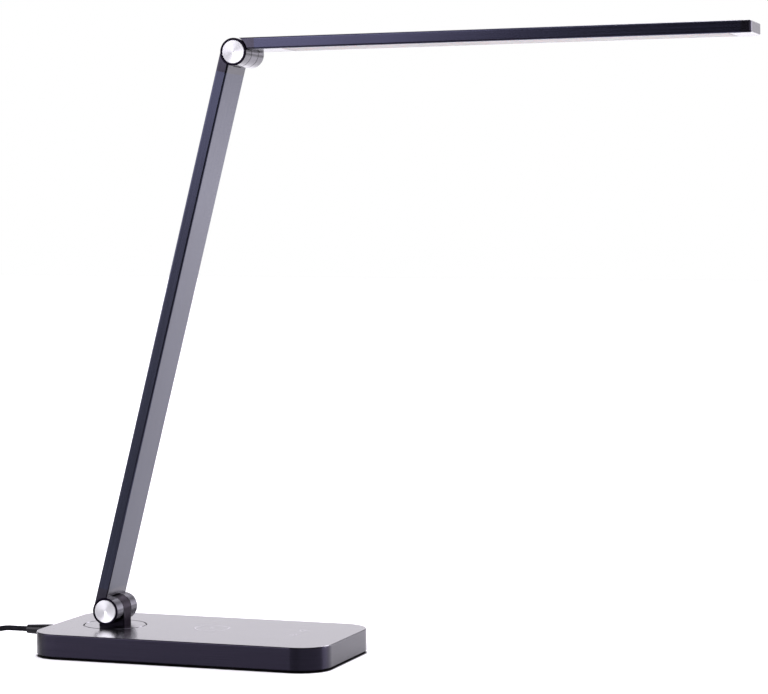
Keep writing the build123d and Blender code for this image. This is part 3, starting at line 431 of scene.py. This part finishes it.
dressed = {
    "base_cover": "base",
    "base_plate": "plastic",
    "rubber_feet": "rubber",
    "hinge_post": "post",
    "turntable_disc": "base",
    "arm_tube": "arm",
    "arm_lower_end": "lower_end",
    "arm_upper_end": "upper_fork",
    "head_rail": "head",
    "head_knuckle": "upper_end",
    "head_tip": "upper_end",
    "diffuser": "opal",
    "led_board": "strip",
    "leds": "emitter",
    "charging_coil": "copper",
    "ferrite_sheet": "ferrite",
    "main_board": "board",
    "touch_board": "board",
    "board_parts": "parts",
    "supply_socket": "parts",
    "friction_ring": "slip",
    "cord_plug": "plug",
    "adapter_relief": "plug",
    "plug_barrel": "plated",
    "adapter_pins": "plated",
    "adapter_body": "adapter",
    "coil_tie": "woven",
}


def finish_of(name):
    """The finish of a solid. Screws, nuts, bolts, springs and plates inside are plain steel."""
    if name in dressed:
        return finishes[dressed[name]]
    if name.endswith(("cap_near", "cap_far")):
        return finishes[name.split("_")[0] + "_cap"]
    if name.endswith("hinge_washers"):
        return finishes["washer"]
    if name.endswith("wire") or name.startswith("cord_"):
        return finishes["sheath"]
    return finishes["steel"]


for name, node in nodes.items():
    node.data.materials.clear()
    node.data.materials.append(finish_of(name))


# Short calls for the pieces that the scene makes

def mesh_object(name, made, material):
    """Turns a bmesh into an object with one material."""
    data = bpy.data.meshes.new(name)
    made.to_mesh(data)
    made.free()
    data.materials.append(material)
    piece = bpy.data.objects.new(name, data)
    scene.collection.objects.link(piece)
    return piece


def base_piece(name, made, material):
    """Turns a bmesh into a piece that rides on the base."""
    bmesh.ops.recalc_face_normals(made, faces=made.faces)
    piece = mesh_object(name, made, material)
    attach(piece, "base")
    return piece


def bridge(made, first, second):
    """Joins two rings of as many corners with a band of faces."""
    for index in range(len(first)):
        after = (index + 1) % len(first)
        made.faces.new((first[index], first[after], second[after], second[index]))


def cap_ends(made, rings):
    """Closes a tube of rings at both ends."""
    made.faces.new(rings[0])
    made.faces.new(rings[-1][::-1])


def eased(share):
    """A smooth rise from 0 to 1, level at both ends."""
    share = min(1.0, max(0.0, share))
    return share * share * (3.0 - 2.0 * share)


# Cord, in millimetres: the free stretch and the tail have the same points as the solids, and the coil
# between them is more points of the same spline

cord_radius = 1.9
coil_pitch = 4.45
coil_layer_pitch = 4.45
coil_first_reversal = 2.75
coil_layer_turns = 3.0
coil_turns = 11.0
coil_start_radius = 26.4
coil_run_in = 3.8
tail_run_out = 6.0
points_per_turn = 24
lead_route = [
    Vector((-138.0, 8.0, 9.5)),
    Vector((-148.0, 8.0, 9.5)),
    Vector((-158.5, 8.1, 9.3)),
    Vector((-169.5, 7.9, 5.0)),
    Vector((-179.5, 7.9, 2.6)),
    Vector((-188.0, 7.9, 2.6)),
]
start_angle = math.pi / 2 - math.atan(coil_pitch / (2 * math.pi * coil_start_radius))
coil_start = lead_route[-1] - Vector((coil_run_in, 0.0, 0.0))
coil_centre = coil_start - Vector((math.cos(start_angle), math.sin(start_angle), 0.0)) * coil_start_radius
inner_radius = coil_start_radius - coil_pitch * coil_first_reversal
outer_radius = inner_radius + coil_pitch * coil_layer_turns
# Points that lie this far out give a smooth curve on the wanted radius
point_reach = 2.0 / (1.0 + math.cos(math.pi / points_per_turn) ** 2)


def layer_at(turns):
    """How many layers the coil has turned back from after so many turns, and the turns since the last."""
    wound = turns - coil_first_reversal
    passed = math.floor(wound / coil_layer_turns) + 1
    return passed, wound - coil_layer_turns * (passed - 1)


def coil_point(turns):
    """A point of the coil after so many turns: layers that run in and out, and climb where they turn back."""
    passed, since = layer_at(turns)
    inward = passed % 2 == 0
    radius = outer_radius - coil_pitch * since if inward else inner_radius + coil_pitch * since
    nearest = round((turns - coil_first_reversal) / coil_layer_turns)
    past_nearest = turns - coil_first_reversal - coil_layer_turns * nearest
    layer = 0.0 if nearest < 0 else nearest + eased(past_nearest * 2.0 + 0.5)
    angle = start_angle + 2 * math.pi * turns
    out = Vector((math.cos(angle), math.sin(angle), 0.0))
    return coil_centre + out * radius * point_reach + Vector((0.0, 0.0, coil_layer_pitch * layer))


def coil_end():
    """Where the coil ends, on its way out, and the direction that it has there."""
    passed, since = layer_at(coil_turns)
    radius = inner_radius + coil_pitch * since
    angle = start_angle + 2 * math.pi * coil_turns
    out = Vector((math.cos(angle), math.sin(angle), 0.0))
    onward = Vector((-math.sin(angle), math.cos(angle), 0.0))
    way = (out * coil_pitch + onward * 2 * math.pi * radius).normalized()
    return coil_centre + out * radius + Vector((0.0, 0.0, coil_layer_pitch * passed)), way


def make_cord():
    """The cord from its plug to the adapter, as one smooth curve."""
    steps = range(1, int(coil_turns * points_per_turn))
    coil_points = [coil_point(step / points_per_turn) for step in steps]
    last, way = coil_end()
    tail_route = [
        last,
        last + way * coil_run_in,
        last + way * coil_run_in + way * tail_run_out,
        Vector((-207.7, 6.8, 14.6)),
        Vector((-213.6, 6.9, 13.5)),
        Vector((-219.6, 6.9, 13.5)),
    ]
    points = lead_route + [coil_start] + coil_points + tail_route
    curve = bpy.data.curves.new("supply_cord", "CURVE")
    curve.dimensions = "3D"
    curve.bevel_depth = cord_radius * MM
    curve.bevel_resolution = 6
    curve.resolution_u = 4
    spline = curve.splines.new("NURBS")
    spline.points.add(len(points) - 1)
    for slot, point in zip(spline.points, points):
        slot.co = (*(point * MM), 1.0)
    spline.order_u = 3
    spline.use_endpoint_u = True
    curve.materials.append(finishes["sheath"])
    cord = bpy.data.objects.new("supply_cord", curve)
    scene.collection.objects.link(cord)
    return cord


# Strap, in millimetres: one woven band that goes once round the coil's turns and overlaps itself on top

strap_angle = math.radians(215.0)
strap_thickness = 0.6
strap_width = 7.0
strap_overlap = 9.0
strap_step = 0.45
strap_ramp_steps = 8
strap_gap = 0.1  # between the cord and the strap
strap_lap_gap = 0.05  # between the strap's two layers, and between the strap and the floor
# Half of the strap's section: places across it, as shares of its width, and how full it is there
strap_section = ((-0.5, 0.6), (-0.46, 0.95), (-0.25, 1.0), (0.0, 1.0), (0.25, 1.0), (0.46, 0.95), (0.5, 0.6))


def turns_at(angle):
    """How far out and how high the coil's turns are where they pass an angle."""
    first = ((angle - start_angle) / (2 * math.pi)) % 1.0
    places = []
    for whole in range(int(coil_turns)):
        point = coil_point(first + whole) - coil_centre
        places.append(Vector((Vector((point.x, point.y)).length / point_reach, point.z + coil_centre.z)))
    return places


def hull_of(places):
    """The corners of the convex outline round some places, in order, clockwise from the lowest left."""
    ordered = sorted(places, key=lambda place: (place.x, place.y))
    outline = []
    for row in (ordered, ordered[::-1]):
        side = []
        for place in row:
            while len(side) > 1 and (side[-1] - side[-2]).cross(place - side[-1]) >= 0.0:
                side.pop()
            side.append(place)
        outline += side[:-1]
    return outline


def strap_path(reach):
    """Places and outward directions on a smooth band at a distance round the turns, from its top."""
    outline = hull_of(turns_at(strap_angle))
    path = []
    for index, corner in enumerate(outline):
        before, after = outline[index - 1], outline[(index + 1) % len(outline)]
        ways = [(corner - before).normalized(), (after - corner).normalized()]
        outs = [Vector((-way.y, way.x)) for way in ways]
        count = max(2, math.ceil(outs[1].angle(outs[0]) * reach / strap_step))
        for step in range(count + 1):
            out = outs[0].slerp(outs[1], step / count)
            path.append((corner + out * reach, out))
        run = (after - corner).length
        count = math.ceil(run / strap_step)
        for step in range(1, count):
            path.append((corner + ways[1] * run * step / count + outs[1] * reach, outs[1]))
    middle = (min(place.x for place in outline) + max(place.x for place in outline)) / 2
    tops = [index for index, (place, out) in enumerate(path) if out.y > 0.5]
    first = min(tops, key=lambda index: abs(path[index][0].x - middle))
    return path[first:] + path[:first]


def make_strap():
    """The strap's band, with slightly thinner edges and a free end that lies on the first turn of it."""
    out_way = Vector((math.cos(strap_angle), math.sin(strap_angle), 0.0))
    across = out_way.cross(Vector((0.0, 0.0, 1.0)))
    middle = Vector((coil_centre.x, coil_centre.y, 0.0))
    path = strap_path(cord_radius + strap_gap + strap_thickness / 2)
    overlap = round(strap_overlap / strap_step)
    made = bmesh.new()
    rings = []
    for index, (place, out) in enumerate(path + path[:overlap]):
        share = (index - len(path) + strap_ramp_steps) / strap_ramp_steps
        lift = eased(share) * (strap_thickness + strap_lap_gap)
        ring = []
        for sign, row in ((1, strap_section), (-1, strap_section[::-1])):
            for side, fullness in row:
                flat = place + out * (lift + sign * strap_thickness / 2 * fullness)
                corner = middle + out_way * flat.x + Vector((0.0, 0.0, flat.y)) + across * side * strap_width
                corner.z = max(corner.z, strap_lap_gap)
                ring.append(made.verts.new(corner * MM))
        rings.append(ring)
    for first, second in zip(rings, rings[1:]):
        bridge(made, first, second)
    cap_ends(made, rings)
    strap = base_piece("coil_strap", made, finishes["woven"])
    for face in strap.data.polygons:
        face.use_smooth = True
    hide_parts("coil_tie")
    return strap


supply_cord = make_cord()
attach(supply_cord, "base")
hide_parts("cord_lead", "cord_coil", "cord_tail")
coil_strap = make_strap()


# Printed marks on the base, in millimetres: a ring with a dot over the charging pad, and two touch signs

mark_thickness = 0.04
ring_centre = (5.0, 6.0)
power_centre = (70.0, 15.5)
brightness_centre = (70.0, -3.5)


def ribbon(made, points, width, closed=False):
    """A thin flat band along points on the base's top."""
    levels = ((1, 0.0), (1, mark_thickness), (-1, mark_thickness), (-1, 0.0))
    count = len(points)
    rows = []
    for index, point in enumerate(points):
        if closed:
            before, after = points[index - 1], points[(index + 1) % count]
        else:
            before, after = points[max(0, index - 1)], points[min(count - 1, index + 1)]
        way = (after - before).normalized()
        aside = Vector((-way.y, way.x)) * width / 2
        corners = [(point + aside * side, base_top + level) for side, level in levels]
        rows.append([made.verts.new(Vector((place.x, place.y, height)) * MM) for place, height in corners])
    for first, second in zip(rows, rows[1:] + rows[:1] if closed else rows[1:]):
        bridge(made, first, second)
    if not closed:
        cap_ends(made, rows)


def arc_points(centre, radius, start, stop, steps):
    """Points round part of a circle, between two angles in degrees."""
    angles = [math.radians(start + (stop - start) * step / steps) for step in range(steps + 1)]
    return [Vector((centre[0] + radius * math.cos(a), centre[1] + radius * math.sin(a))) for a in angles]


def circle_points(centre, radius, steps):
    """Points round a whole circle."""
    return arc_points(centre, radius, 0.0, 360.0, steps)[:-1]


def make_charging_mark():
    """The ring, and the dot at its middle."""
    ring_radius, ring_line = 12.0, 0.9
    dot_radius, dot_line = 0.7, 1.3
    made = bmesh.new()
    ribbon(made, circle_points(ring_centre, ring_radius, 72), ring_line, closed=True)
    ribbon(made, circle_points(ring_centre, dot_radius, 24), dot_line, closed=True)
    base_piece("charging_mark", made, finishes["mark"])


def make_power_mark():
    """An open ring, from one angle to another, and a bar that points to the back."""
    radius, line = 3.0, 0.7
    open_from, open_to = 30.0, 330.0
    bar_near, bar_far = 0.4, 3.8
    made = bmesh.new()
    ribbon(made, arc_points(power_centre, radius, open_from, open_to, 40), line)
    ribbon(made, [Vector(power_centre) + Vector((0.0, reach)) for reach in (bar_near, bar_far)], line)
    base_piece("power_mark", made, finishes["mark"])


def make_brightness_mark():
    """A small ring with rays round it."""
    radius, line = 1.4, 0.6
    rays, ray_near, ray_far = 8, 2.5, 3.8
    made = bmesh.new()
    ribbon(made, circle_points(brightness_centre, radius, 32), line, closed=True)
    for ray in range(rays):
        angle = 2 * math.pi * ray / rays
        out = Vector((math.cos(angle), math.sin(angle)))
        ribbon(made, [Vector(brightness_centre) + out * reach for reach in (ray_near, ray_far)], line)
    base_piece("brightness_mark", made, finishes["mark"])


make_charging_mark()
make_power_mark()
make_brightness_mark()


# Floor and light, in metres. The studio is faintly violet, except where the camera sees it.

studio_tint = (1.0, 0.965, 1.045)
front_light = 0.12  # light of the room in front, as a share of the light of the one behind
floor_half_size = 12.0
floor_white = (0.92, 0.92, 0.93)
floor_glow = 0.35
contact_reach = 0.004
# The floor under the base's outline is painted dark: a painted shadow that fades out just past the outline
painted_shadow_tone = (0.03, 0.03, 0.03)
painted_shadow_inside, painted_shadow_outside = 0.7 * MM, 1.0 * MM  # how far in and out from the base's outline the dark fades
panel_foot, panel_head = 0.06, 0.2  # softness of the panels' lower and upper edges

# Tall panels of light. Each has a left angle and its softness, and a right angle and its softness, in
# degrees to the right of the front, then its lowest and highest height on a sphere of radius 1, and its level.
panels = (
    (-80.0, 8.0, -18.0, 2.5, 0.0, 0.75, 5.4),
    (14.0, 3.0, 103.0, 2.0, -0.05, 0.5, 0.9),
    (103.0, 2.0, 158.0, 5.0, -0.05, 0.5, 4.0),
    (103.0, 2.0, 128.0, 8.0, -0.05, 0.35, 8.0),
)


def clear_of_painted_shadow(paint):
    """A factor that is 0 inside the base's outline on the floor, where the floor has a painted shadow, and 1
    outside it.
    """
    straight = ((base_length / 2 - base_corner) * MM, (base_width / 2 - base_corner) * MM, 0.0)
    quarter = paint.vector("SUBTRACT", paint.vector("ABSOLUTE", paint.place()), straight)
    past = paint.vector("MAXIMUM", quarter, (0.0, 0.0, 0.0))
    reach = paint.vector("LENGTH", past, output="Value")
    outline = base_corner * MM
    return paint.spread(reach, start=outline - painted_shadow_inside, stop=outline + painted_shadow_outside)


def room_light(paint, across, away):
    """How bright the room is that the far floor stands for: the left panel lights it, more so further off."""
    edge_slant = -0.325
    edge_from, edge_to = 0.02, -0.12
    near, distant, distant_light = -0.7, -5.0, 1.8
    slant = paint.math("MULTIPLY_ADD", away, edge_slant, across)
    lit = paint.spread(slant, front_light, 1.0, edge_from, edge_to)
    further = paint.spread(away, 1.0, distant_light, near, distant)
    return paint.math("MULTIPLY", lit, further)


def floor_finish():
    """White that keeps the lamp's shadow, with a painted shadow under the base and its glow dimmed near the
    base as painted contact shade. Far in front, its reflection is a dark room.
    """
    room_from, room_to = 0.05, -0.55
    white = (1.0, 1.0, 1.0, 1.0)
    paint = Paint("floor_white", floor_white, 0.9, specular_ior_level=0.0, emission_color=white)
    clear = clear_of_painted_shadow(paint)
    # Painted shadow: the floor's colour goes dark inside the base's outline
    paint.color(paint.mix(clear, painted_shadow_tone, floor_white))
    # Painted contact shade: the glow fades where ambient occlusion finds the base close by
    painted_contact_shade = paint.node("ShaderNodeAmbientOcclusion", samples=16)
    painted_contact_shade.inputs["Distance"].default_value = contact_reach
    glow = paint.math("MULTIPLY", paint.rays("Is Camera Ray", "Is Glossy Ray"), floor_glow)
    open_glow = paint.math("MULTIPLY", glow, painted_contact_shade.outputs["AO"])
    # The glow is also cut inside the base's outline, as part of the painted shadow
    paint.link(paint.math("MULTIPLY", open_glow, clear), paint.shader.inputs["Emission Strength"])
    across, away = (paint.part(paint.place(), which) for which in "XY")
    far = paint.spread(away, start=room_from, stop=room_to)
    reflected = paint.math("MULTIPLY", far, paint.rays("Is Glossy Ray"))
    room = paint.node("ShaderNodeEmission")
    paint.link(room_light(paint, across, away), room.inputs["Strength"])
    both = paint.node("ShaderNodeMixShader")
    for index, output in enumerate((reflected, paint.shader.outputs["BSDF"], room.outputs["Emission"])):
        paint.link(output, both.inputs[index])
    paint.link(both.outputs["Shader"], paint.tree.nodes["Material Output"].inputs["Surface"])
    return paint.material


def make_floor():
    """A wide floor under the lamp."""
    made = bmesh.new()
    bmesh.ops.create_grid(made, x_segments=1, y_segments=1, size=floor_half_size)
    floor = mesh_object("floor", made, floor_finish())


def make_world():
    """White for the camera. For the lamp, a white room behind, a dark one in front, and the panels."""
    back_from, back_to = -0.05, 0.3
    world = bpy.data.worlds.new("studio")
    world.use_nodes = True
    room = Shading(world.node_tree)
    background = room.tree.nodes["Background"]
    across, away, rise = (room.part(room.place("Generated"), which) for which in "XYZ")
    turn = room.math("ARCTAN2", across, room.math("MULTIPLY", away, -1.0))
    light = room.step(away, back_from, back_to, front_light, 1.0)
    for *angles, low, high, level in panels:
        left, left_soft, right, right_soft = (math.radians(angle) for angle in angles)
        width = room.math(
            "MULTIPLY",
            room.step(turn, left - left_soft, left + left_soft),
            room.step(turn, right + right_soft, right - right_soft),
        )
        height = room.math(
            "MULTIPLY",
            room.step(rise, low, low + panel_foot),
            room.step(rise, high, high - panel_head),
        )
        inside = room.math("MULTIPLY", width, height)
        light = room.math("ADD", light, room.math("MULTIPLY", inside, level))
    camera = room.rays("Is Camera Ray")
    room.link(room.mix(camera, studio_tint, (1.0, 1.0, 1.0)), background.inputs["Color"])
    unseen = room.math("MULTIPLY", light, room.math("SUBTRACT", 1.0, camera))
    room.link(room.math("ADD", unseen, camera), background.inputs["Strength"])
    scene.world = world


def softbox(name, place, target, width, height, power):
    """A soft rectangular lamp that faces a point."""
    data = bpy.data.lights.new(name, "AREA")
    data.shape = "RECTANGLE"
    data.size = width
    data.size_y = height
    data.energy = power
    data.color = studio_tint
    lamp = bpy.data.objects.new(name, data)
    lamp.location = place
    lamp.rotation_euler = (Vector(target) - Vector(place)).to_track_quat("-Z", "Y").to_euler()
    scene.collection.objects.link(lamp)


make_floor()
make_world()
softbox("top", (0.3, 0.4, 2.4), (0.1, 0.0, 0.1), 2.0, 1.6, 22.0)
softbox("back", (0.55, 2.3, 1.6), (0.55, 2.2, 0.0), 1.8, 0.9, 50.0)
scene.view_settings.view_transform = "Standard"
